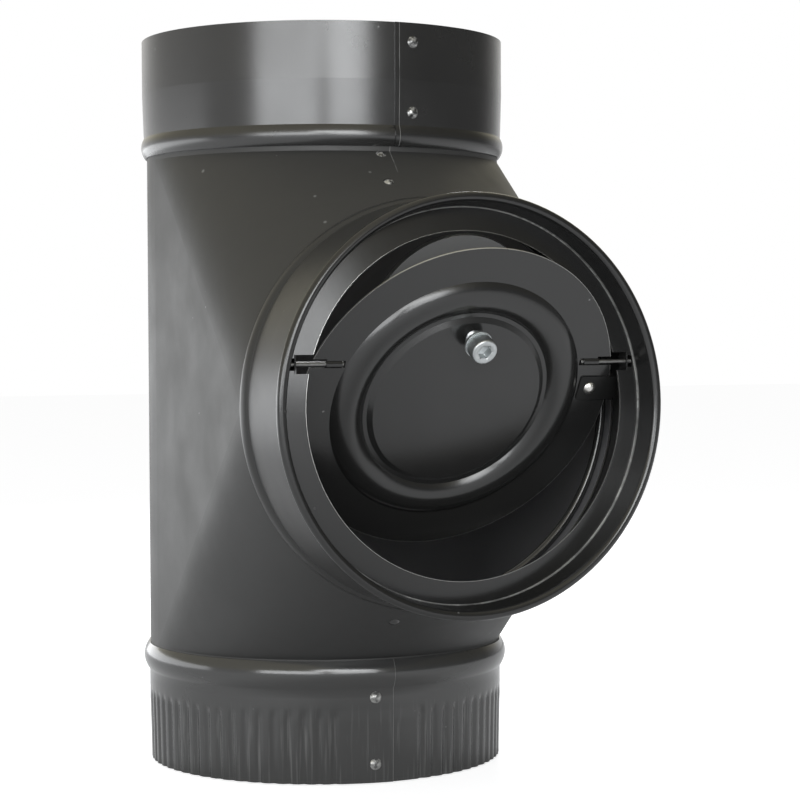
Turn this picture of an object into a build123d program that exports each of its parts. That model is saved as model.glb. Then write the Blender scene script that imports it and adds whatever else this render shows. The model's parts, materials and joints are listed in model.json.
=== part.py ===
import math
import os

from build123d import *

os.makedirs("parts", exist_ok=True)

# Stovepipe tee with a swinging draft regulator in its branch, in mm.
# Origin at the middle of the lower end, +Z up the main run, branch towards -Y.
sheet = 0.65
run_height = 304.8
run_r = 75.1
branch_z = 152.9
rim_y = -146.5

# Body between the collars: a hood of straight sheet from the pipe to the branch ring, then a short neck.
neck_r_axis = 73.8
neck_slope = 0.0486
neck_end_y = -110.5
hood_ring_y = -106.0
hood_low_z = 50.2
hood_high_z = 253.4
# How far the inner skin's ends stand back, so that the slanting sheet keeps its thickness.
hood_end_step = 0.33
hood_ring_step = 0.21
# Lift of a rivet's head above the curved sheet.
seat_lift = 0.03

# Ends of the body inside the collars.
body_low_z = 43.8
body_flare_z = 49.6
body_flare_r = 76.6
body_bead_z = 259.3
body_bead_r = 76.4
body_bead_half = 3.7
body_top_z = 264.0

# Top collar.
top_r = 77.0
top_waist_r = 76.4
top_flare_z = 282.0
top_bead_r = 77.5
top_bead_z = 259.4
top_lip_z = 255.4
lip_r = 75.2
top_seam_deg = 0.4
top_lap_deg = 20.0

# Bottom collar with its crimped skirt.
low_bead_r = 77.8
low_bead_z = 43.8
low_lip_z = 49.6
low_band_r = 75.5
low_band_z = 31.0
low_band_top_z = 38.7
crimp_count = 76
crimp_depth = 1.0
crimp_full_z = 25.0
crimp_end_r = 74.85
low_seam_deg = -2.1
low_lap_deg = 13.0
plain_from_deg = -19.0
plain_to_deg = 3.0

# Branch barrel and damper frame, with r from the branch axis and d behind the rim.
barrel_r = 78.9
barrel_bead_r = 80.5
barrel_bead_d = 36.7
barrel_end_d = 39.9
curl_r = 1.93
rim_r = 80.36
fold_r = 75.1
fold_d = 10.2
hole_r = 66.1
hole_d = 8.4

# Hinge of the disc.
hinge_z = 169.3
hinge_d = 10.9
open_deg = 30.0
pin_r = 0.9
pin_fit = 0.06
pin_in = 50.0
pin_out = 72.3
ear_x = 69.5
ear_tall = 7.0
ear_back_d = 15.0

# Disc, measured in its own plane: u up from the hinge, h out from the pin line.
disc_r = 65.3
disc_sheet = 0.6
disc_drop = 16.4
ridge_in_r = 38.0
ridge_out_r = 51.3
ridge_crest_r = 45.2
ridge_high = 3.1
plate_edge_r = 36.4
plate_top_r = 34.4
plate_high = 1.2

# Adjusting screw and counterweight.
screw_u = 11.6
screw_r = 2.95
screw_fit = 0.06
head_r = 5.1
head_low_h = 6.6
head_top_h = 12.6
socket_flat = 5.0
socket_deep = 3.6
screw_tail_h = -29.0
washer_r = 5.4
washer_thick = 1.0
nut_flat = 10.0
nut_thick = 5.0
weight_r = 31.5
weight_thick = 2.0
weight_front_h = -21.0

face = disc_sheet / 2
run_axis = Axis((0, 0, 0), (0, 0, 1))
branch_axis = Axis((0, rim_y, branch_z), (0, 1, 0))
branch_plane = Plane((0, rim_y, branch_z), x_dir=(0, 0, 1), z_dir=(-1, 0, 0))
open_rad = math.radians(open_deg)
hinge_point = (0, rim_y + hinge_d, hinge_z)
disc_out = (0, -math.cos(open_rad), -math.sin(open_rad))
disc_plane = Plane(hinge_point, x_dir=(1, 0, 0), z_dir=disc_out)


def radial_plane(deg, shift_x=0.0, shift_y=0.0):
    a = math.radians(deg)
    x_dir = (math.sin(a), -math.cos(a), 0)
    z_dir = (-math.cos(a), -math.sin(a), 0)
    return Plane((shift_x, shift_y, 0), x_dir=x_dir, z_dir=z_dir)


def on_run(deg, r, z, flare=0.0):
    a = math.radians(deg)
    return Plane((r * math.sin(a), -r * math.cos(a), z), z_dir=(math.sin(a), -math.cos(a), -flare))


def on_disc(x, u, h):
    return Plane(disc_plane.from_local_coords(Vector(x, u, h)), x_dir=(1, 0, 0), z_dir=disc_out)


def add_rivet(seat, head, high, shank, length):
    ball = (head * head + high * high) / (2 * high)
    low = math.degrees(math.asin((ball - high) / ball))
    with Locations(seat.offset(high - ball)):
        Sphere(ball, arc_size1=low, arc_size2=90, align=None)
    with Locations(seat):
        Cylinder(shank, length, align=(Align.CENTER, Align.CENTER, Align.MAX))


# Tee body: the pipe's two ends, the hood between them and the branch's neck.
def on_pipe(r, a, z):
    return Vector(r * math.sin(a), -r * math.cos(a), z)


def on_ring(r, y, a):
    return Vector(r * math.sin(a), y, branch_z + r * math.cos(a))


def pipe_arc(r, z, start, stop):
    return ThreePointArc(*[on_pipe(r, a, z) for a in (start, (start + stop) / 2, stop)])


def ring_arc(r, y, start, stop):
    return ThreePointArc(*[on_ring(r, y, a) for a in (start, (start + stop) / 2, stop)])


def flat_side(r, ring_r, ring_y):
    """The angle round the pipe, from the front, at which the hood's flat side leaves it."""
    return math.atan2(ring_r, -ring_y) + math.acos(r / math.hypot(ring_r, ring_y))


def hood_sizes(inset):
    part = inset / sheet
    ends = (hood_low_z + hood_end_step * part, hood_high_z - hood_end_step * part)
    ring_r = neck_r_axis - neck_slope * hood_ring_y - inset
    return run_r - inset, ends, ring_r, hood_ring_y + hood_ring_step * part


def hood_form(r, ends, ring_r, ring_y):
    side = flat_side(r, ring_r, ring_y)
    quarter = math.pi / 2
    fronts = [pipe_arc(r, z, -side, side) for z in ends]
    backs = [pipe_arc(r, z, side, 2 * math.pi - side) for z in ends]
    halves = [ring_arc(ring_r, ring_y, 3 * quarter, quarter), ring_arc(ring_r, ring_y, -quarter, quarter)]
    skins = [Face.make_surface_from_curves(front, half) for front, half in zip(fronts, halves)]
    skins.append(Face.make_surface_from_curves(*backs))
    for turn in (-1, 1):
        corners = [on_pipe(r, turn * side, z) for z in ends]
        skins.append(Face(Wire.make_polygon([*corners, on_ring(ring_r, ring_y, turn * quarter)])))
    for rim in (*zip(fronts, backs), halves):
        skins.append(Face(Wire(list(rim))))
    return Solid(Shell(skins))


def tee_form(inset, spare):
    r, ends, ring_r, ring_y = hood_sizes(inset)
    low = body_low_z - spare
    high = body_top_z + spare
    flare = body_flare_r - inset
    bead = body_bead_r - inset
    flare_low = body_low_z + 0.3
    flare_mid = (r + 1.1, body_low_z + 3.1)
    bead_low = body_bead_z - body_bead_half
    bead_high = body_bead_z + body_bead_half
    neck = ring_y - neck_end_y + spare
    hood = hood_form(r, ends, ring_r, ring_y)
    with BuildPart() as form:
        add(hood)
        with BuildSketch(Plane.XZ):
            with BuildLine():
                Polyline((r, bead_high), (r, high), (0, high), (0, ends[1]), (r, ends[1]), (r, bead_low))
                ThreePointArc((r, bead_low), (bead, body_bead_z), (r, bead_high))
            make_face()
        revolve(axis=run_axis)
        with BuildSketch(Plane.XZ):
            with BuildLine():
                Polyline((r, body_flare_z), (r, ends[0]), (0, ends[0]), (0, low), (flare, low))
                Line((flare, low), (flare, flare_low))
                ThreePointArc((flare, flare_low), flare_mid, (r, body_flare_z))
            make_face()
        revolve(axis=run_axis)
        with Locations(Plane((0, ring_y, branch_z), x_dir=(1, 0, 0), z_dir=(0, -1, 0))):
            Cone(ring_r, ring_r + neck_slope * neck, neck, align=(Align.CENTER, Align.CENTER, Align.MIN))
    return form.part


def hood_line(turn, up):
    """The straight line of the sheet at a turn across the hood's front, from the pipe to the ring."""
    r, ends, ring_r, ring_y = hood_sizes(0.0)
    a = turn * flat_side(r, ring_r, ring_y)
    b = turn * math.pi / 2
    if up:
        return on_pipe(r, a, ends[1]), on_ring(ring_r, ring_y, b)
    return on_pipe(r, a, ends[0]), on_ring(ring_r, ring_y, math.pi - b)


def on_hood(turn, part, up):
    start, stop = hood_line(turn, up)
    beside, beyond = hood_line(turn + 0.02, up)
    along = stop - start
    across = beside - start + beyond - stop
    out = along.cross(across) if up else across.cross(along)
    return Plane(start + along * part, z_dir=out).offset(seat_lift)


body_seats = [on_hood(-0.061, 0.06, True), on_hood(-0.096, 0.6, True), on_hood(-0.096, 0.695, False)]
with BuildPart() as tee_body:
    add(tee_form(0.0, 0.0))
    add(tee_form(sheet, 1.0), mode=Mode.SUBTRACT)
    with Locations(*body_seats):
        Cylinder(1.6, 4.0, mode=Mode.SUBTRACT)
tee_body.part.label = "tee_body"
export_step(tee_body.part, "parts/tee_body.step")

with BuildPart() as body_rivets:
    for seat in body_seats:
        add_rivet(seat, 2.1, 0.9, 1.55, sheet)
body_rivets.part.label = "body_rivets"
export_step(body_rivets.part, "parts/body_rivets.step")


# Top collar: plain sleeve, bead at its lower end, lap seam over the branch.
def top_collar_face(plane):
    with BuildSketch(plane) as section:
        with BuildLine():
            Polyline((top_waist_r, 263.8), (top_r, top_flare_z), (top_r, run_height))
            Polyline((top_r, run_height), (top_r - sheet, run_height), (top_r - sheet, top_flare_z))
            Line((top_r - sheet, top_flare_z), (top_waist_r - sheet, 263.7))
            ThreePointArc(
                (top_waist_r - sheet, 263.7), (top_bead_r - sheet, top_bead_z), (lip_r, top_lip_z)
            )
            Line((lip_r, top_lip_z), (lip_r + sheet, top_lip_z))
            ThreePointArc((lip_r + sheet, top_lip_z), (top_bead_r, top_bead_z), (top_waist_r, 263.8))
        make_face()
    return section.sketch


def lap_shift(seam_deg, lap_deg, side, rise):
    far = rise / math.sin(math.radians(lap_deg))
    a = math.radians(seam_deg - side * (90 - lap_deg))
    return (far * math.sin(a), -far * math.cos(a))


top_flare = (top_r - top_waist_r) / (top_flare_z - 263.8)
top_seats = [on_run(4.9, top_r + 0.54, 297.1), on_run(4.9, top_waist_r + 0.17 + 0.54, 269.0, top_flare)]
top_shift = lap_shift(top_seam_deg, top_lap_deg, 1, sheet)
with BuildPart() as top_collar:
    revolve(top_collar_face(radial_plane(180)), axis=run_axis)
    top_lap = top_collar_face(radial_plane(top_seam_deg, *top_shift))
    revolve(top_lap, axis=Axis((*top_shift, 0), (0, 0, 1)), revolution_arc=top_lap_deg + 4)
    with Locations(*top_seats):
        Cylinder(1.6, 6.0, mode=Mode.SUBTRACT)
top_collar.part.label = "top_collar"
export_step(top_collar.part, "parts/top_collar.step")

with BuildPart() as top_collar_rivets:
    for seat in top_seats:
        add_rivet(seat, 2.4, 1.1, 1.55, 1.1)
top_collar_rivets.part.label = "top_collar_rivets"
export_step(top_collar_rivets.part, "parts/top_collar_rivets.step")


# Bottom collar: bold bead, plain band, crimped skirt.
def low_bead_face(plane, outer_foot, inner_foot, between):
    with BuildSketch(plane) as section:
        with BuildLine():
            Polyline(outer_foot, *between, inner_foot)
            ThreePointArc(inner_foot, (low_bead_r - sheet, low_bead_z), (lip_r, low_lip_z))
            Line((lip_r, low_lip_z), (lip_r + sheet, low_lip_z))
            ThreePointArc((lip_r + sheet, low_lip_z), (low_bead_r, low_bead_z), outer_foot)
        make_face()
    return section.sketch


def skirt_ring(z, r, depth):
    points = []
    for k in range(crimp_count):
        start = 360 * k / crimp_count
        middle = (start + 180 / crimp_count + 180) % 360 - 180
        dip = 0.0 if plain_from_deg < middle < plain_to_deg else depth
        for part_turn, drop in ((0.0, 0.0), (0.32, 0.0), (0.58, dip), (0.76, dip)):
            a = math.radians(start + 360 * part_turn / crimp_count)
            points.append(((r - drop) * math.sin(a), -(r - drop) * math.cos(a)))
    with BuildSketch(Plane.XY.offset(z)) as ring:
        Polygon(*points, align=None)
    return ring.sketch


def skirt_form(inset):
    levels = [
        skirt_ring(0, crimp_end_r - inset, crimp_depth),
        skirt_ring(crimp_full_z, low_band_r - 0.1 - inset, crimp_depth),
        skirt_ring(low_band_z, low_band_r - inset, 0.0),
        skirt_ring(low_band_top_z, low_band_r - inset, 0.0),
    ]
    with BuildPart() as form:
        loft([level.faces()[0] for level in levels], ruled=True)
    return form.part


low_flare = (low_band_r - crimp_end_r) / low_band_z
low_seats = [
    on_run(-7.8, low_band_r + 0.42, 34.6),
    on_run(-7.8, crimp_end_r + 0.16 + 0.42, 7.6, low_flare),
]
low_shift = lap_shift(low_seam_deg, low_lap_deg, -1, sheet - 0.08)
with BuildPart() as bottom_collar:
    add(skirt_form(0.0) - skirt_form(sheet))
    low_bead = low_bead_face(radial_plane(180), (low_band_r - 0.2, 37.4), (low_band_r - 0.42, 38.2), [])
    revolve(low_bead, axis=run_axis)
    lap_foot = [
        (low_band_r, low_band_z),
        (crimp_end_r, 0),
        (crimp_end_r - sheet, 0),
        (low_band_r - sheet, low_band_z),
    ]
    lap_plane = radial_plane(low_seam_deg, *low_shift)
    low_lap = low_bead_face(lap_plane, (low_band_r, 37.8), (low_band_r - sheet, 37.8), lap_foot)
    revolve(low_lap, axis=Axis((*low_shift, 0), (0, 0, -1)), revolution_arc=low_lap_deg + 3)
    with Locations(*low_seats):
        Cylinder(1.6, 6.0, mode=Mode.SUBTRACT)
bottom_collar.part.label = "bottom_collar"
export_step(bottom_collar.part, "parts/bottom_collar.step")

with BuildPart() as bottom_collar_rivets:
    for seat in low_seats:
        add_rivet(seat, 2.4, 1.1, 1.55, 1.0)
bottom_collar_rivets.part.label = "bottom_collar_rivets"
export_step(bottom_collar_rivets.part, "parts/bottom_collar_rivets.step")

# Branch barrel: sleeve on the neck with a bead at its inner end.
with BuildPart() as branch_barrel:
    with BuildSketch(branch_plane):
        with BuildLine():
            Polyline((barrel_r - sheet, 33.6), (barrel_r - sheet, 1.5), (barrel_r, 1.5), (barrel_r, 33.6))
            ThreePointArc((barrel_r, 33.6), (barrel_bead_r, barrel_bead_d), (79.1 + sheet, barrel_end_d))
            Line((79.1 + sheet, barrel_end_d), (79.1, barrel_end_d))
            ThreePointArc(
                (79.1, barrel_end_d), (barrel_bead_r - sheet, barrel_bead_d), (barrel_r - sheet, 33.6)
            )
        make_face()
    revolve(axis=branch_axis)
branch_barrel.part.label = "branch_barrel"
export_step(branch_barrel.part, "parts/branch_barrel.step")

# Damper frame: curled rim over the barrel's edge, cup wall, sloped ring, two bent ears.
curl_at = rim_r - curl_r
curl_in = curl_r - sheet
with BuildPart() as damper_frame:
    with BuildSketch(branch_plane):
        with BuildLine():
            Polyline(
                (curl_at + curl_r / 2, curl_r + curl_r * 0.866),
                (curl_at + curl_in / 2, curl_r + curl_in * 0.866),
            )
            ThreePointArc(
                (curl_at + curl_in / 2, curl_r + curl_in * 0.866),
                (curl_at, sheet),
                (curl_at - curl_in, curl_r),
            )
            Polyline(
                (curl_at - curl_in, curl_r),
                (fold_r + 0.63, fold_d + 0.78),
                (hole_r, hole_d + 0.66),
                (hole_r, hole_d),
                (fold_r, fold_d),
                (curl_at - curl_r, curl_r),
            )
            ThreePointArc(
                (curl_at - curl_r, curl_r), (curl_at, 0), (curl_at + curl_r / 2, curl_r + curl_r * 0.866)
            )
        make_face()
    revolve(axis=branch_axis)
    for side in (-1, 1):
        with Locations((side * (ear_x - 6), rim_y + 9.5, hinge_z)):
            Box(12, 5, ear_tall, mode=Mode.SUBTRACT)
        with Locations((side * (ear_x + sheet + 1.2), rim_y + 9.5, hinge_z)):
            Box(2.4, 4, 4.6, mode=Mode.SUBTRACT)
        with Locations((side * (ear_x + sheet / 2), rim_y + (9.4 + ear_back_d) / 2, hinge_z)):
            Box(sheet, ear_back_d - 9.4, ear_tall)
        with Locations(Plane((side * (ear_x + sheet / 2), rim_y + hinge_d, hinge_z), z_dir=(1, 0, 0))):
            Cylinder(pin_r + pin_fit, 3, mode=Mode.SUBTRACT)
damper_frame.part.label = "damper_frame"
export_step(damper_frame.part, "parts/damper_frame.step")

# Damper disc: flat rim, raised ring, groove, raised middle, straps for the pins.
disc_down = (0, math.sin(open_rad), -math.cos(open_rad))
disc_middle = disc_plane.from_local_coords(Vector(0, -disc_drop, 0))
disc_side = Plane(disc_middle, x_dir=(1, 0, 0), z_dir=disc_down)
disc_axis = Axis(disc_middle, disc_out)
tab_u = -11.7
rivet_x = 56.8
with BuildPart() as damper_disc:
    with BuildSketch(disc_side):
        with BuildLine():
            Polyline(
                (0, face + plate_high),
                (plate_top_r, face + plate_high),
                (plate_edge_r, face),
                (ridge_in_r, face),
            )
            ThreePointArc((ridge_in_r, face), (ridge_crest_r, face + ridge_high), (ridge_out_r, face))
            Polyline((ridge_out_r, face), (disc_r, face), (disc_r, -face), (ridge_out_r + 0.1, -face))
            ThreePointArc(
                (ridge_out_r + 0.1, -face), (ridge_crest_r, ridge_high - face), (ridge_in_r - 0.1, -face)
            )
            Polyline(
                (ridge_in_r - 0.1, -face),
                (plate_edge_r - 0.1, -face),
                (plate_top_r - 0.1, plate_high - face),
                (0, plate_high - face),
                (0, face + plate_high),
            )
        make_face()
    revolve(axis=disc_axis)
    with Locations(on_disc(0, screw_u, 0)):
        Cylinder(screw_r + 0.4, 8, mode=Mode.SUBTRACT)
    with Locations(on_disc(rivet_x, tab_u, 0)):
        Cylinder(1.55, 4, mode=Mode.SUBTRACT)
    for side in (-1, 1):
        with Locations(on_disc(side * 56.6, 0, 0)):
            Box(14.4, 2 * (pin_r + disc_sheet), 4, mode=Mode.SUBTRACT)
        with Locations(on_disc(side * 60.4, 1.6, 0)):
            Box(6.8, 1.4, 4, mode=Mode.SUBTRACT)
        strap_plane = Plane(
            disc_plane.from_local_coords(Vector(side * 54.2, 0, 0)), x_dir=disc_plane.y_dir, z_dir=(1, 0, 0)
        )
        with BuildSketch(strap_plane):
            Circle(pin_r + disc_sheet)
            Circle(pin_r, mode=Mode.SUBTRACT)
            Rectangle(8, 4, align=(Align.CENTER, Align.MAX), mode=Mode.SUBTRACT)
            for leg in (-1, 1):
                with Locations((leg * (pin_r + disc_sheet / 2), -face / 2)):
                    Rectangle(disc_sheet, face)
        extrude(amount=3.2, both=True)
damper_disc.part.label = "damper_disc"
export_step(damper_disc.part, "parts/damper_disc.step")

# Pivot pins, held by the straps and turning in the ears.
for side, name in ((-1, "left_pivot_pin"), (1, "right_pivot_pin")):
    middle = side * (pin_in + pin_out) / 2
    with BuildPart() as pivot_pin:
        with Locations(Plane((middle, rim_y + hinge_d, hinge_z), z_dir=(1, 0, 0))):
            Cylinder(pin_r, pin_out - pin_in)
        chamfer(pivot_pin.edges(), 0.2)
    pivot_pin.part.label = name
    export_step(pivot_pin.part, "parts/" + name + ".step")

# Stop tab on the disc's right edge: it meets the back of the frame's ring when the disc closes.
with BuildPart() as stop_tab:
    with BuildSketch(on_disc(60.5, tab_u, face)):
        RectangleRounded(17, 10.4, 1.0)
    extrude(amount=0.6)
    with Locations(on_disc(rivet_x, tab_u, face)):
        Cylinder(1.55, 4, mode=Mode.SUBTRACT)
stop_tab.part.label = "stop_tab"
export_step(stop_tab.part, "parts/stop_tab.step")

with BuildPart() as stop_rivet:
    add_rivet(on_disc(rivet_x, tab_u, face + 0.6), 2.5, 1.4, 1.5, disc_sheet + 0.6)
    with Locations(on_disc(rivet_x, tab_u, -face)):
        Cylinder(2.1, 0.8, align=(Align.CENTER, Align.CENTER, Align.MAX))
stop_rivet.part.label = "stop_rivet"
export_step(stop_rivet.part, "parts/stop_rivet.step")

# Nut fixed behind the disc for the adjusting screw.
disc_nut_h = plate_high - face
with BuildPart() as disc_nut:
    with BuildSketch(on_disc(0, screw_u, disc_nut_h)):
        RegularPolygon(nut_flat / 2, 6, major_radius=False)
        Circle(screw_r + screw_fit, mode=Mode.SUBTRACT)
    extrude(amount=-nut_thick)
disc_nut.part.label = "disc_nut"
export_step(disc_nut.part, "parts/disc_nut.step")

# Adjusting screw with a socket head.
with BuildPart() as adjusting_screw:
    with Locations(on_disc(0, screw_u, head_low_h)):
        Cylinder(head_r, head_top_h - head_low_h, align=(Align.CENTER, Align.CENTER, Align.MIN))
    chamfer(adjusting_screw.edges().filter_by(GeomType.CIRCLE), 0.5)
    with Locations(on_disc(0, screw_u, screw_tail_h)):
        Cylinder(screw_r, head_low_h - screw_tail_h, align=(Align.CENTER, Align.CENTER, Align.MIN))
    with BuildSketch(on_disc(0, screw_u, head_top_h)):
        RegularPolygon(socket_flat / 2, 6, major_radius=False)
    extrude(amount=-socket_deep, mode=Mode.SUBTRACT)
adjusting_screw.part.label = "adjusting_screw"
export_step(adjusting_screw.part, "parts/adjusting_screw.step")

# Split spring washer under the screw's head.
with BuildPart() as lock_washer:
    with BuildSketch(on_disc(0, screw_u, head_low_h - washer_thick)):
        Circle(washer_r)
        Circle(screw_r + 0.05, mode=Mode.SUBTRACT)
        with Locations((4.2, 0)):
            Rectangle(4.0, 0.7, rotation=20, mode=Mode.SUBTRACT)
    extrude(amount=washer_thick)
lock_washer.part.label = "lock_washer"
export_step(lock_washer.part, "parts/lock_washer.step")

# Round counterweight plate behind the disc, between two nuts on the screw's tail.
with BuildPart() as counterweight:
    with BuildSketch(on_disc(0, screw_u, weight_front_h)):
        Circle(weight_r)
        Circle(screw_r + screw_fit, mode=Mode.SUBTRACT)
    extrude(amount=-weight_thick)
counterweight.part.label = "counterweight"
export_step(counterweight.part, "parts/counterweight.step")

weight_back_h = weight_front_h - weight_thick
with BuildPart() as weight_nuts:
    for seat_h in (weight_front_h + nut_thick + 0.05, weight_back_h - 0.05):
        with BuildSketch(on_disc(0, screw_u, seat_h)):
            RegularPolygon(nut_flat / 2, 6, major_radius=False)
            Circle(screw_r, mode=Mode.SUBTRACT)
        extrude(amount=-nut_thick)
weight_nuts.part.label = "weight_nuts"
export_step(weight_nuts.part, "parts/weight_nuts.step")
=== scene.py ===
import json
import math

import bmesh
import bpy
from mathutils import Matrix, Vector


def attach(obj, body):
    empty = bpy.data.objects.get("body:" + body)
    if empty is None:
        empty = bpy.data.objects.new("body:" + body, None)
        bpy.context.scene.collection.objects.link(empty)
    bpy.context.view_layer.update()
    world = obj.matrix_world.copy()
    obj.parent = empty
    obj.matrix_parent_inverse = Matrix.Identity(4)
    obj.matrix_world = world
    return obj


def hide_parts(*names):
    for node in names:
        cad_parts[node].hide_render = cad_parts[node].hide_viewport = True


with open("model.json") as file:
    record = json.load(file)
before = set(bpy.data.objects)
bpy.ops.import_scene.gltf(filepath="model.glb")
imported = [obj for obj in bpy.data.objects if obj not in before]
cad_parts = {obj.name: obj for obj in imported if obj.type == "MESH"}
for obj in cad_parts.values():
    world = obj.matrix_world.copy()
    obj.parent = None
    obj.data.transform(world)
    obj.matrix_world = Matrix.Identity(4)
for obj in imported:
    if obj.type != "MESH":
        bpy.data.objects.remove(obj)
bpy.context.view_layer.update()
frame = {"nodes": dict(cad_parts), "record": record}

# Sizes are in millimetres in the part's own frame. MM turns them into metres.
MM = 0.001
UP = (0.0, 0.0, 1.0)
BACK = (0.0, 1.0, 0.0)
SHEET = 0.65
BRANCH_Z = 152.9
RIM_Y = -146.5
HINGE_BEHIND_RIM = 10.9
HINGE_Z = 169.3
HINGE = Vector((0.0, RIM_Y + HINGE_BEHIND_RIM, HINGE_Z))
OPEN = math.radians(30.0)
DISC_UP = Vector((0.0, -math.sin(OPEN), math.cos(OPEN)))
DISC_OUT = Vector((0.0, -math.cos(OPEN), -math.sin(OPEN)))
DISC_R = 65.3
DISC_DROP = 16.4
SCREW_U = 11.6
WEIGHT_R = 31.5
HOLE_R = 66.1
FOLD_R = 75.1
NECK_END_Y = -110.5
TEE_MIDDLE = (0.0, -30.0, BRANCH_Z)
TOP_SEAM_DEG = 0.4
LOW_SEAM_DEG = -2.1

# The body's lap edge above the branch: its two ends, and the way that the sheet faces there.
BODY_LAP = ((-2.3, -72.3, 255.3), (-5.4, -88.2, 244.1))
BODY_LAP_FACES = (0.0, -0.572, 0.820)

# Small scuffs on the body above the branch: place and radius.
SCUFFS = (
    ((-42.3, -101.2, 223.2), 0.9),
    ((-29.3, -105.9, 226.3), 1.1),
    ((-41.0, -88.3, 233.9), 0.8),
    ((-68.8, -38.8, 246.2), 1.0),
    ((-16.7, -86.5, 244.0), 0.8),
)

scene = bpy.context.scene
scene.view_settings.view_transform = "Standard"


def on_disc(x, u, h):
    """A point given across the disc, up the disc and out from its face."""
    return HINGE + Vector((x, 0.0, 0.0)) + DISC_UP * u + DISC_OUT * h


DISC_MIDDLE = on_disc(0.0, -DISC_DROP, 0.0)


def node(tree, kind, **values):
    made = tree.nodes.new(kind)
    for key, value in values.items():
        setattr(made, key, value)
    return made


def new_material(name):
    material = bpy.data.materials.new(name)
    material.use_nodes = True
    tree = material.node_tree
    shader = tree.nodes["Principled BSDF"]
    return material, tree, shader


def join(tree, value, socket):
    """Set a plain value on a socket, or link another node's socket to it."""
    if isinstance(value, bpy.types.NodeSocket):
        tree.links.new(value, socket)
    else:
        socket.default_value = value


def object_place(tree):
    return node(tree, "ShaderNodeTexCoord").outputs["Object"]


def noise_at(tree, place, scale, detail=4.0, rough=0.55):
    noise = node(tree, "ShaderNodeTexNoise")
    noise.inputs["Scale"].default_value = scale
    noise.inputs["Detail"].default_value = detail
    noise.inputs["Roughness"].default_value = rough
    tree.links.new(place, noise.inputs["Vector"])
    return noise.outputs["Fac"]


def object_noise(tree, scale, detail=4.0, rough=0.55):
    return noise_at(tree, object_place(tree), scale, detail, rough)


def spread(tree, source, low, high, from_low=0.3, from_high=0.7):
    """Stretch a value from one range to another, and hold it at the ends."""
    ramp = node(tree, "ShaderNodeMapRange")
    ramp.inputs["From Min"].default_value = from_low
    ramp.inputs["From Max"].default_value = from_high
    ramp.inputs["To Min"].default_value = low
    ramp.inputs["To Max"].default_value = high
    tree.links.new(source, ramp.inputs["Value"])
    return ramp.outputs["Result"]


def blend(tree, factor, first, second, kind="RGBA"):
    mix = node(tree, "ShaderNodeMix", data_type=kind)
    inputs = [s for s in mix.inputs if s.enabled]
    join(tree, factor, inputs[0])
    join(tree, first, inputs[1])
    join(tree, second, inputs[2])
    return next(s for s in mix.outputs if s.enabled)


def combine(tree, operation, first, second):
    made = node(tree, "ShaderNodeMath", operation=operation)
    join(tree, first, made.inputs[0])
    join(tree, second, made.inputs[1])
    return made.outputs[0]


def unsigned(tree, value):
    made = node(tree, "ShaderNodeMath", operation="ABSOLUTE")
    join(tree, value, made.inputs[0])
    return made.outputs[0]


def vector_step(tree, operation, vector, value):
    made = node(tree, "ShaderNodeVectorMath", operation=operation)
    join(tree, vector, made.inputs[0])
    made.inputs[1].default_value = value
    return made


def offset_from(tree, point):
    """The way from a point in mm to the surface, in metres."""
    return vector_step(tree, "SUBTRACT", object_place(tree), Vector(point) * MM).outputs["Vector"]


def length_of(tree, vector):
    return vector_step(tree, "LENGTH", vector, (0.0, 0.0, 0.0)).outputs["Value"]


def part_along(tree, vector, direction):
    return vector_step(tree, "DOT_PRODUCT", vector, direction).outputs["Value"]


def from_axis(tree, point, axis):
    """Distance of the surface from an axis, in metres."""
    across = vector_step(tree, "CROSS_PRODUCT", offset_from(tree, point), axis).outputs["Vector"]
    return length_of(tree, across)


def along(tree, direction):
    return part_along(tree, object_place(tree), direction)


def beyond(tree, value, limit, soft=0.04):
    """1 where a distance in metres is past a limit in mm, 0 before it."""
    return spread(tree, value, 0.0, 1.0, (limit - soft) * MM, (limit + soft) * MM)


def short_of(tree, value, limit, soft=0.04):
    """1 where a distance in metres is before a limit in mm, 0 past it."""
    return spread(tree, value, 1.0, 0.0, (limit - soft) * MM, (limit + soft) * MM)


def front_half(tree):
    return short_of(tree, along(tree, BACK), 0.0)


def relief(tree, shader, source, distance, strength):
    bump = node(tree, "ShaderNodeBump")
    bump.inputs["Distance"].default_value = distance
    bump.inputs["Strength"].default_value = strength
    tree.links.new(source, bump.inputs["Height"])
    tree.links.new(bump.outputs["Normal"], shader.inputs["Normal"])


def grey(level, blue=0.98):
    return (level, level, level * blue, 1.0)


# Paint and metal: scales in cells per metre, depths in metres.
MOTTLE_SCALE = 14.0
GLOSS_SCALE = 38.0
GRAIN_SCALE = 1300.0
GRAIN_DEEP = 0.0001
GRAIN_STRENGTH = 0.12
METAL_DEEP = 0.00005
METAL_STRENGTH = 0.15
DUST_SCALE = 130.0
DUST_GREY = grey(0.30)
BARE_GREY = grey(0.62, 0.97)
BARE_ROUGH = 0.34
INNER_SOFT = 5.0
INNER_BLUE = 1.02


def dust(tree):
    """Sparse pale specks, each well under a millimetre across."""
    cells = node(tree, "ShaderNodeTexVoronoi")
    cells.inputs["Scale"].default_value = DUST_SCALE
    tree.links.new(object_place(tree), cells.inputs["Vector"])
    speck = spread(tree, cells.outputs["Distance"], 1.0, 0.0, 0.03, 0.07)
    few = node(tree, "ShaderNodeSeparateColor")
    tree.links.new(cells.outputs["Color"], few.inputs["Color"])
    return combine(tree, "MULTIPLY", speck, spread(tree, few.outputs[0], 0.0, 0.5, 0.86, 0.96))


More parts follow.
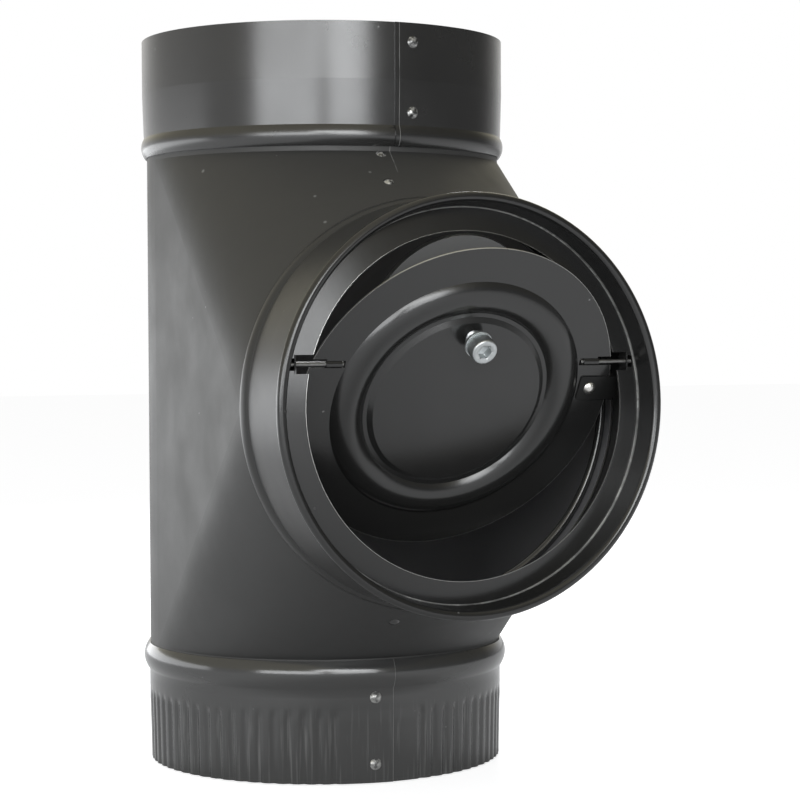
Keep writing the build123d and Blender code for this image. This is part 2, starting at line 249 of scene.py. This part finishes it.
def inner_skin(tree):
    """1 on surfaces that face the middle of the tee, 0 on those that face out."""
    facing = node(tree, "ShaderNodeVectorMath", operation="DOT_PRODUCT")
    tree.links.new(offset_from(tree, TEE_MIDDLE), facing.inputs[0])
    tree.links.new(node(tree, "ShaderNodeNewGeometry").outputs["Normal"], facing.inputs[1])
    return short_of(tree, facing.outputs["Value"], 0.0, INNER_SOFT)


def black_paint(name, dark, light, rough, gloss, bare_mask=None, inner=None):
    """Paint between two grey levels, with dust, bare metal where the mask given says (real wear on most
    parts, painted highlights on the damper's fold and the upper rivets), and a paler inner side that is
    painted light lifting the shade inside the tee.
    """
    material, tree, shader = new_material(name)
    colour = blend(tree, object_noise(tree, MOTTLE_SCALE, 3.0), grey(dark), grey(light))
    # Painted light: the side that faces into the tee gets a paler grey that lifts its shade.
    if inner:
        colour = blend(tree, inner_skin(tree), colour, grey(inner, INNER_BLUE))
    colour = blend(tree, dust(tree), colour, DUST_GREY)
    roughness = spread(tree, object_noise(tree, GLOSS_SCALE, 5.0, 0.6), *rough)
    if bare_mask:
        mask = bare_mask(tree)
        colour = blend(tree, mask, colour, BARE_GREY)
        roughness = blend(tree, mask, roughness, BARE_ROUGH, "FLOAT")
        tree.links.new(mask, shader.inputs["Metallic"])
    tree.links.new(colour, shader.inputs["Base Color"])
    tree.links.new(roughness, shader.inputs["Roughness"])
    relief(tree, shader, object_noise(tree, GRAIN_SCALE, 2.0), GRAIN_DEEP, GRAIN_STRENGTH)
    shader.inputs["Specular IOR Level"].default_value = gloss
    return material


def bare_metal(name, dark, light, rough, scale):
    material, tree, shader = new_material(name)
    grain = object_noise(tree, scale, 4.0)
    tree.links.new(blend(tree, grain, dark, light), shader.inputs["Base Color"])
    tree.links.new(spread(tree, grain, *rough), shader.inputs["Roughness"])
    relief(tree, shader, grain, METAL_DEEP, METAL_STRENGTH)
    shader.inputs["Metallic"].default_value = 1.0
    return material


# Where the paint is cut or rubbed through to bright metal, and where a bare-metal line paints the highlight
# on the frame's fold: widths in millimetres.
EDGE = 0.1
HOLE_EDGE = 0.08
NECK_EDGE = 0.12
FOLD_HIGHLIGHT_INSIDE = 0.25
FOLD_HIGHLIGHT_OUTSIDE = 0.15
SEAM_HALF = 0.12
SEAM_SOFT = 0.05
LAP_HALF = 0.14
LAP_SOFT = 0.08
BREAK_SCALE = 90.0
LAP_BREAK_SCALE = 260.0
RIVET_SCALE = 620.0
STREAK_SCALE = 800.0
STREAK_DRAW = (1.0, 1.0, 0.03)
STREAK_BRIGHT = 0.11
STREAK_TOP = 27.0
STREAK_SOFT = 6.0
SCUFF_BRIGHT = 0.25
SCUFF_CORE = 0.3


def seam_edge(deg):
    """The cut end of a collar's lap, a straight line up the front."""
    a = math.radians(deg)

    def bare_mask(tree):
        off = unsigned(tree, along(tree, (math.cos(a), math.sin(a), 0.0)))
        line = combine(tree, "MULTIPLY", front_half(tree), short_of(tree, off, SEAM_HALF, SEAM_SOFT))
        return combine(tree, "MULTIPLY", line, spread(tree, object_noise(tree, BREAK_SCALE), 0.1, 0.5))

    return bare_mask


def skirt_wear(tree):
    """The lap's cut end, and fine upright scratches where the collar slides into the next pipe."""
    drawn = vector_step(tree, "MULTIPLY", object_place(tree), STREAK_DRAW).outputs["Vector"]
    streaks = noise_at(tree, drawn, STREAK_SCALE, 3.0, 0.5)
    lines = spread(tree, streaks, 0.0, STREAK_BRIGHT, 0.56, 0.74)
    low = short_of(tree, along(tree, UP), STREAK_TOP, STREAK_SOFT)
    scratches = combine(tree, "MULTIPLY", lines, low)
    return combine(tree, "MAXIMUM", seam_edge(LOW_SEAM_DEG)(tree), scratches)


def disc_edge(tree):
    return beyond(tree, from_axis(tree, DISC_MIDDLE, DISC_OUT), DISC_R - EDGE)


def plate_edge(tree):
    return beyond(tree, from_axis(tree, on_disc(0.0, SCREW_U, 0.0), DISC_OUT), WEIGHT_R - EDGE)


def frame_edges(tree):
    """The cut edge of the opening, and a broken bare-metal line along the fold that is a painted highlight
    for its rounded bend.
    """
    far = from_axis(tree, (0.0, RIM_Y, BRANCH_Z), BACK)
    past = beyond(tree, far, FOLD_R - FOLD_HIGHLIGHT_INSIDE)
    fold = combine(tree, "MULTIPLY", past, short_of(tree, far, FOLD_R + FOLD_HIGHLIGHT_OUTSIDE))
    broken = spread(tree, object_noise(tree, BREAK_SCALE), 0.15, 0.6, 0.36, 0.60)
    # Painted highlight: bare metal along the fold, broken up by noise.
    fold_highlight = combine(tree, "MULTIPLY", fold, broken)
    return combine(tree, "MAXIMUM", short_of(tree, far, HOLE_R + HOLE_EDGE), fold_highlight)


def lap_line(tree):
    """The cut edge of the body's own lap, from the top collar down to the branch."""
    start, stop = (Vector(p) for p in BODY_LAP)
    across = (stop - start).cross(Vector(BODY_LAP_FACES)).normalized()
    off = unsigned(tree, part_along(tree, offset_from(tree, start), across))
    line = short_of(tree, off, LAP_HALF, LAP_SOFT)
    upper = beyond(tree, along(tree, UP), stop.z)
    place = combine(tree, "MULTIPLY", upper, front_half(tree))
    broken = spread(tree, object_noise(tree, LAP_BREAK_SCALE), 0.0, 0.4)
    return combine(tree, "MULTIPLY", combine(tree, "MULTIPLY", line, place), broken)


def body_wear(tree):
    """The neck's raw edge, the lap's edge, and a few small scuffs above the branch."""
    mask = short_of(tree, along(tree, BACK), NECK_END_Y + NECK_EDGE)
    mask = combine(tree, "MAXIMUM", mask, lap_line(tree))
    for point, size in SCUFFS:
        far = length_of(tree, offset_from(tree, point))
        spot = spread(tree, far, SCUFF_BRIGHT, 0.0, SCUFF_CORE * size * MM, size * MM)
        mask = combine(tree, "MAXIMUM", mask, spot)
    return mask


# Noise spots of bare metal: scuffs on the bottom collar's rivets, painted glints on the rivets above the
# branch.
def rivet_scuffs_and_glints(tree):
    return spread(tree, object_noise(tree, RIVET_SCALE, 3.0), 0.0, 0.75, 0.42, 0.62)


def upper_rivet_glints(tree):
    """Painted glints: bare-metal spots on the rivets above the branch stand in for their highlights; the one
    below the branch keeps plain paint.
    """
    return combine(tree, "MULTIPLY", rivet_scuffs_and_glints(tree), beyond(tree, along(tree, UP), BRANCH_Z))


# Each paint: darkest and lightest grey, range of roughness, specular level, bare-metal mask (wear, and on
# some parts painted highlights), paler grey of the inner side (painted light).
paint = black_paint("satin_black_paint", 0.024, 0.032, (0.33, 0.40), 0.42)
# The body's inner side is paler: painted light inside the tee.
body_paint = black_paint("body_black_paint", 0.024, 0.032, (0.50, 0.58), 0.6, body_wear, 0.13)
top_paint = black_paint("top_collar_paint", 0.012, 0.018, (0.23, 0.28), 1.0, seam_edge(TOP_SEAM_DEG))
low_paint = black_paint("bottom_collar_paint", 0.030, 0.042, (0.14, 0.20), 0.8, skirt_wear)
rivet_paint = black_paint("rubbed_rivet_paint", 0.05, 0.09, (0.30, 0.42), 0.8, rivet_scuffs_and_glints)
# The rivets above the branch carry painted glints.
stud_paint = black_paint("rivet_black_paint", 0.018, 0.026, (0.16, 0.22), 1.0, upper_rivet_glints)
hem_paint = black_paint("hem_black_paint", 0.018, 0.026, (0.16, 0.22), 1.0)
disc_paint = black_paint("disc_black_paint", 0.012, 0.017, (0.18, 0.23), 0.75, disc_edge)
tab_paint = black_paint("tab_black_paint", 0.008, 0.012, (0.30, 0.38), 0.3)
# The frame's fold carries a painted highlight.
frame_paint = black_paint("frame_black_paint", 0.011, 0.016, (0.18, 0.25), 0.70, frame_edges)
plate_grey = black_paint("dull_grey_plate", 0.12, 0.17, (0.45, 0.60), 0.5, plate_edge)
zinc = bare_metal("zinc_plated_steel", (0.48, 0.51, 0.52, 1.0), (0.68, 0.70, 0.70, 1.0), (0.32, 0.48), 900.0)
bare = bare_metal("bare_rivet_metal", (0.66, 0.65, 0.62, 1.0), (0.82, 0.81, 0.78, 1.0), (0.25, 0.42), 700.0)
pin_steel = bare_metal("blackened_pin_steel", grey(0.16), grey(0.30), (0.30, 0.45), 800.0)

# A node has the finish of its slot, unless the photo shows another one.
by_slot = {"black_paint": paint, "zinc_steel": zinc, "bare_rivet": bare, "dull_steel": plate_grey}
by_node = {
    "tee_body": body_paint,
    "body_rivets": stud_paint,
    "top_collar": top_paint,
    "top_collar_rivets": stud_paint,
    "bottom_collar": low_paint,
    "bottom_collar_rivets": rivet_paint,
    "damper_disc": disc_paint,
    "damper_frame": frame_paint,
    "stop_tab": tab_paint,
    "left_pivot_pin": pin_steel,
    "right_pivot_pin": pin_steel,
}
slot_of = {s["node"]: s["material_slot"] for s in frame["record"]["subparts"]}
for name, obj in frame["nodes"].items():
    obj.data.materials.clear()
    obj.data.materials.append(by_node.get(name, by_slot[slot_of[name]]))


def add_piece(name, verts, faces, material, body, slot_name, smooth_deg=40.0):
    """A mesh, given in millimetres, that rides on a body; edges sharper than smooth_deg stay sharp."""
    mesh = bpy.data.meshes.new(name)
    mesh.from_pydata([Vector(v) * MM for v in verts], [], faces)
    work = bmesh.new()
    work.from_mesh(mesh)
    bmesh.ops.remove_doubles(work, verts=work.verts, dist=1e-7)
    bmesh.ops.recalc_face_normals(work, faces=work.faces)
    work.to_mesh(mesh)
    work.free()
    mesh.materials.append(material)
    mesh.shade_smooth()
    mesh.set_sharp_from_angle(angle=math.radians(smooth_deg))
    piece = bpy.data.objects.new(name, mesh)
    scene.collection.objects.link(piece)
    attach(piece, body)
    return piece


def ring_faces(first, second):
    """Quads between two closed loops of the same length."""
    count = len(first)
    made = []
    for i in range(count):
        j = (i + 1) % count
        made.append((first[i], first[j], second[j], second[i]))
    return made


# Adjusting screw: knurled cap head with a hexagon socket, and a threaded shank. Heights are off the disc.
HEAD_LOW = 6.6
HEAD_TOP = 12.6
HEAD_R = 5.1
KNURLS = 44
KNURL_DEEP = 0.3
SOCKET_R = 5.0 / math.sqrt(3)
SOCKET_DEEP = 3.6
SHANK_R = 2.95
THREAD_DEEP = 0.5
THREAD_PITCH = 1.0
TAIL = -29.0
POINTS_PER_KNURL = 8
SHANK_POINTS = 28
ROWS_PER_TURN = 8


def screw_mesh():
    verts = []
    faces = []

    def ring(h, radius_at, count):
        start = len(verts)
        for i in range(count):
            a = 2 * math.pi * i / count
            r = radius_at(a)
            verts.append(on_disc(r * math.cos(a), SCREW_U + r * math.sin(a), h))
        return list(range(start, start + count))

    def hexagon(a):
        part = (a % (math.pi / 3)) - math.pi / 6
        return SOCKET_R * math.cos(math.pi / 6) / math.cos(part)

    def knurl(depth):
        def radius_at(a):
            return HEAD_R - depth * (0.5 + 0.5 * math.cos(KNURLS * a))

        return radius_at

    def round_at(r):
        return lambda a: r

    # The head's section from the shank over the rim into the socket: height, and radius at an angle.
    head = [
        (HEAD_LOW, round_at(SHANK_R)),
        (HEAD_LOW, round_at(HEAD_R - 0.45)),
        (HEAD_LOW + 0.12, round_at(HEAD_R - 0.3)),
        (HEAD_LOW + 0.55, knurl(KNURL_DEEP)),
        (HEAD_TOP - 1.15, knurl(KNURL_DEEP)),
        (HEAD_TOP - 0.85, knurl(0.05)),
        (HEAD_TOP - 0.45, round_at(HEAD_R - 0.08)),
        (HEAD_TOP - 0.15, round_at(HEAD_R - 0.28)),
        (HEAD_TOP, round_at(HEAD_R - 0.65)),
        (HEAD_TOP, round_at(SOCKET_R + 0.32)),
        (HEAD_TOP - 0.3, hexagon),
        (HEAD_TOP - SOCKET_DEEP, hexagon),
        (HEAD_TOP - SOCKET_DEEP - 0.5, round_at(0.4)),
    ]
    rings = [ring(h, radius_at, KNURLS * POINTS_PER_KNURL) for h, radius_at in head]
    for first, second in zip(rings, rings[1:]):
        faces.extend(ring_faces(first, second))
    faces.append(tuple(rings[-1]))

    thread_top = HEAD_LOW - 0.4
    thread_end = TAIL + 0.8
    steps = int(round((thread_top - thread_end) / THREAD_PITCH * ROWS_PER_TURN))
    shank = [ring(HEAD_LOW, round_at(SHANK_R - 0.2), SHANK_POINTS)]
    for k in range(steps + 1):
        h = thread_top - k * THREAD_PITCH / ROWS_PER_TURN

        def thread(a, h=h):
            turn = (h / THREAD_PITCH - a / (2 * math.pi)) % 1.0
            wave = min(1.0, max(0.0, 1.25 * abs(2 * turn - 1) - 0.1))
            return SHANK_R - THREAD_DEEP * wave

        shank.append(ring(h, thread, SHANK_POINTS))
    shank.append(ring(TAIL + 0.3, round_at(SHANK_R - THREAD_DEEP), SHANK_POINTS))
    shank.append(ring(TAIL, round_at(SHANK_R - THREAD_DEEP - 0.5), SHANK_POINTS))
    for first, second in zip(shank, shank[1:]):
        faces.extend(ring_faces(first, second))
    faces.append(tuple(shank[-1]))
    return verts, faces


screw = add_piece("adjusting_screw_knurled", *screw_mesh(), zinc, "screw", "zinc_steel", 38.0)
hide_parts("adjusting_screw")


# Bottom collar: the same form as its solid, with soft crimps instead of straight facets.
# Its bead and lip are radius and height; a crimp's middle and half width are shares of the crimps' pitch.
COLLAR_END_R = 74.85
COLLAR_BAND_R = 75.5
COLLAR_BAND_TOP = 37.8
COLLAR_BEAD = (77.8, 43.8)
COLLAR_LIP = (75.2, 49.6)
COLLAR_LAP_DEG = 13.0
COLLAR_LAP_RISE = 0.57
CRIMPS = 76
CRIMP_DEEP = 0.8
CRIMP_MIDDLE = 0.67
CRIMP_HALF = 0.36
CRIMP_FULL_Z = 26.0
CRIMP_NONE_Z = 31.0
PLAIN_DEG = (-19.0, 3.0)
SKIRT_ROWS = (0, 8, 16, 21, 23)
FADE_ROWS = (25, 26, 27, 28, 29, 30)
FADE_TUCK = 0.05
BAND_ROW = 34.4
BEAD_STEPS = 14
COLUMNS_PER_CRIMP = 10
LAP_STEP_DEG = 0.001


def arc_points(start, middle, stop, count):
    """Points of a quadratic bend that passes through the middle point."""
    pull = [2 * m - (a + b) / 2 for a, m, b in zip(start, middle, stop)]
    made = []
    for i in range(count + 1):
        t = i / count
        weights = ((1 - t) ** 2, 2 * t * (1 - t), t * t)
        made.append(tuple(sum(w * p[k] for w, p in zip(weights, (start, pull, stop))) for k in (0, 1)))
    return made


def collar_profile():
    """Radius and height round the sheet's section: up the outside, over the lip, down the inside."""
    slope = (COLLAR_BAND_R - COLLAR_END_R) / CRIMP_NONE_Z
    low = [(COLLAR_END_R + slope * z, z) for z in SKIRT_ROWS]
    low += [(COLLAR_BAND_R - FADE_TUCK, z) for z in FADE_ROWS]
    low += [(COLLAR_BAND_R, CRIMP_NONE_Z), (COLLAR_BAND_R, BAND_ROW)]
    lip = (COLLAR_LIP[0] + SHEET, COLLAR_LIP[1])
    outer = low + arc_points((COLLAR_BAND_R, COLLAR_BAND_TOP), COLLAR_BEAD, lip, BEAD_STEPS)
    inner = [(r - SHEET, z) for r, z in outer]
    return outer + inner[::-1]


def crimp_at(deg, z):
    """How deep the sheet is pressed in at a turn and a height."""
    turn = (deg % 360) * CRIMPS / 360
    middle = ((math.floor(turn) + 0.5) * 360 / CRIMPS + 180) % 360 - 180
    if PLAIN_DEG[0] < middle < PLAIN_DEG[1]:
        return 0.0
    off = abs(turn % 1.0 - CRIMP_MIDDLE)
    off = min(off, 1.0 - off)
    if off > CRIMP_HALF:
        return 0.0
    fade = min(1.0, max(0.0, (CRIMP_NONE_Z - z) / (CRIMP_NONE_Z - CRIMP_FULL_Z)))
    eased = fade * fade * (3 - 2 * fade)
    return CRIMP_DEEP * eased * (0.5 + 0.5 * math.cos(math.pi * off / CRIMP_HALF))


def lap_rise(deg):
    """How far the overlapping end of the sheet stands off the end below it."""
    part = (deg - LOW_SEAM_DEG + COLLAR_LAP_DEG) / COLLAR_LAP_DEG
    return COLLAR_LAP_RISE * part if 0.0 < part < 1.0 else 0.0


def collar_mesh():
    steps = CRIMPS * COLUMNS_PER_CRIMP
    turns = [360 * i / steps - 180 for i in range(steps)]
    columns = [(deg, lap_rise(deg)) for deg in turns]
    columns += [(LOW_SEAM_DEG - LAP_STEP_DEG, COLLAR_LAP_RISE), (LOW_SEAM_DEG, 0.0)]
    columns.sort()
    profile = collar_profile()
    verts = []
    for deg, rise in columns:
        a = math.radians(deg)
        for i, (r, z) in enumerate(profile):
            lift = rise if i < len(profile) // 2 else 0.0
            far = r + lift - crimp_at(deg, z)
            verts.append((far * math.sin(a), -far * math.cos(a), z))
    size = len(profile)
    faces = []
    for c in range(len(columns)):
        here = [c * size + i for i in range(size)]
        beside = [(c + 1) % len(columns) * size + i for i in range(size)]
        faces.extend(ring_faces(here, beside))
    return verts, faces


collar = add_piece("bottom_collar_soft", *collar_mesh(), low_paint, "tee", "black_paint", 50.0)
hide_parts("bottom_collar")


# Rolled hem inside the branch, where the body meets its neck.
HEM_Y = -105.6
HEM_R = 76.6
HEM_THICK_R = 1.75
HEM_AROUND = 240
HEM_ROWS = 16


def hem_mesh():
    verts = []
    for i in range(HEM_AROUND):
        a = 2 * math.pi * i / HEM_AROUND
        for k in range(HEM_ROWS):
            b = 2 * math.pi * k / HEM_ROWS
            far = HEM_R + HEM_THICK_R * math.cos(b)
            y = HEM_Y + HEM_THICK_R * math.sin(b)
            verts.append((far * math.cos(a), y, BRANCH_Z + far * math.sin(a)))
    faces = []
    for i in range(HEM_AROUND):
        here = [i * HEM_ROWS + k for k in range(HEM_ROWS)]
        beside = [(i + 1) % HEM_AROUND * HEM_ROWS + k for k in range(HEM_ROWS)]
        faces.extend(ring_faces(here, beside))
    return verts, faces


add_piece("neck_hem", *hem_mesh(), hem_paint, "tee", "black_paint")


# Camera of the photograph, solved for this object's size: places in mm, angles in radians.
CAMERA_FAR = 973.46
CAMERA_Z = 179.15
CAMERA_TURN = 0.404
CAMERA_YAW = 0.0338
CAMERA_PITCH = -0.028
CAMERA_ROLL = -0.005
FOCAL_PX = 2253.27
IMAGE_PX = 800.0
SENSOR = 36.0


def add_camera():
    eye = Vector((-CAMERA_FAR * math.sin(CAMERA_TURN), -CAMERA_FAR * math.cos(CAMERA_TURN), CAMERA_Z))
    turn = CAMERA_TURN + CAMERA_YAW
    level = math.cos(CAMERA_PITCH)
    ahead = Vector((math.sin(turn) * level, math.cos(turn) * level, math.sin(CAMERA_PITCH)))
    right = Vector((math.cos(turn), -math.sin(turn), 0.0))
    up = right.cross(ahead)
    right_rolled = math.cos(CAMERA_ROLL) * right + math.sin(CAMERA_ROLL) * up
    up_rolled = -math.sin(CAMERA_ROLL) * right + math.cos(CAMERA_ROLL) * up
    data = bpy.data.cameras.new("camera")
    data.sensor_fit = "HORIZONTAL"
    data.sensor_width = SENSOR
    data.lens = SENSOR * FOCAL_PX / IMAGE_PX
    data.clip_start = 0.01
    camera = bpy.data.objects.new("camera", data)
    scene.collection.objects.link(camera)
    turn_matrix = Matrix((right_rolled, up_rolled, -ahead)).transposed()
    camera.matrix_world = Matrix.Translation(eye * MM) @ turn_matrix.to_4x4()
    scene.camera = camera


add_camera()


# Pale floor, white surroundings with a darker side on the right and a lighter back, five soft lamps.
WHITE = (1.0, 1.0, 1.0, 1.0)
WARM_SKY = (1.0, 0.94, 0.74, 1.0)
LAMP_COLOUR = (0.96, 0.98, 1.0)
FLOOR_GREY = (0.80, 0.80, 0.80, 1.0)
FLOOR_HALF = 6.0
FLOOR_Z = -0.0004
FLOOR_SEEN = 0.7
FLOOR_MIRRORED = 0.1
DARK_SIDE = (0.93, -0.36, 0.0)
LIGHT_BACK = (0.39, 0.92, 0.0)
SKY_LEVEL = 0.62
SKY_DARK = 0.12
SKY_BACK = 0.5
AMBIENT = 0.34

# Name, turn from the camera's side in degrees, distance, low edge, high edge, width in degrees, radiance.
LAMPS = (
    ("front_left_box", -21.5, 2.2, 0.15, 0.74, 39.0, 5.2),
    ("front_right_box", 16.0, 2.2, 0.20, 0.74, 24.0, 5.6),
    ("front_high_box", 10.0, 2.0, 0.66, 1.00, 32.0, 8.0),
    ("left_wall", -115.0, 0.95, 0.0, 0.28, 80.0, 2.3),
    ("back_high_box", -172.0, 1.5, 1.15, 1.75, 40.0, 19.0),
)


def add_floor():
    mesh = bpy.data.meshes.new("floor")
    corners = [(FLOOR_HALF * x, FLOOR_HALF * y, 0.0) for x, y in ((-1, -1), (1, -1), (1, 1), (-1, 1))]
    mesh.from_pydata(corners, [], [(0, 1, 2, 3)])
    floor = bpy.data.objects.new("floor", mesh)
    scene.collection.objects.link(floor)
    floor.location.z = FLOOR_Z
    material, tree, shader = new_material("pale_floor")
    shader.inputs["Base Color"].default_value = FLOOR_GREY
    shader.inputs["Roughness"].default_value = 0.9
    shader.inputs["Specular IOR Level"].default_value = 0.0
    shader.inputs["Emission Color"].default_value = WHITE
    path = node(tree, "ShaderNodeLightPath").outputs
    seen = combine(tree, "MULTIPLY", path["Is Camera Ray"], FLOOR_SEEN)
    mirrored = combine(tree, "MULTIPLY", path["Is Glossy Ray"], FLOOR_MIRRORED)
    glow = combine(tree, "MAXIMUM", seen, mirrored)
    tree.links.new(glow, shader.inputs["Emission Strength"])
    mesh.materials.append(material)


def add_world():
    """White where the camera looks, a dimmer sky in reflections, and an even light for the rest."""
    world = bpy.data.worlds.new("studio")
    scene.world = world
    world.use_nodes = True
    tree = world.node_tree
    back = tree.nodes["Background"]
    path = node(tree, "ShaderNodeLightPath").outputs
    way = node(tree, "ShaderNodeTexCoord").outputs["Generated"]
    side = spread(tree, part_along(tree, way, DARK_SIDE), SKY_LEVEL, SKY_DARK)
    behind = spread(tree, part_along(tree, way, LIGHT_BACK), 0.0, SKY_BACK, 0.55, 0.9)
    height = part_along(tree, way, UP)
    above = spread(tree, height, 0.0, 1.0, -0.12, -0.04)
    mirrored = blend(tree, above, 1.0, combine(tree, "ADD", side, behind), "FLOAT")
    light = blend(tree, path["Is Glossy Ray"], AMBIENT, mirrored, "FLOAT")
    seen = combine(tree, "MAXIMUM", path["Is Camera Ray"], path["Is Transmission Ray"])
    tree.links.new(blend(tree, seen, light, 1.0, "FLOAT"), back.inputs["Strength"])
    high = spread(tree, height, 0.0, 1.0, 0.1, 0.3)
    warm = combine(tree, "MULTIPLY", path["Is Glossy Ray"], high)
    tree.links.new(blend(tree, warm, WHITE, WARM_SKY), back.inputs["Color"])


def soft_lamp(name, turn_deg, far, low, high, wide_deg, radiance):
    """A soft box as seen from the object: its turn from the camera's side, and its low and high edge."""
    turn = CAMERA_TURN - math.radians(turn_deg)
    wide = 2 * far * math.tan(math.radians(wide_deg) / 2)
    data = bpy.data.lights.new(name, "AREA")
    data.shape = "RECTANGLE"
    data.size = wide
    data.size_y = high - low
    data.energy = radiance * math.pi * wide * (high - low)
    data.color = LAMP_COLOUR
    light = bpy.data.objects.new(name, data)
    scene.collection.objects.link(light)
    place = Vector((-far * math.sin(turn), -far * math.cos(turn), (low + high) / 2))
    way = Vector((-place.x, -place.y, 0.0))
    light.matrix_world = Matrix.Translation(place) @ way.to_track_quat("-Z", "Y").to_matrix().to_4x4()


add_floor()
add_world()
for lamp in LAMPS:
    soft_lamp(*lamp)
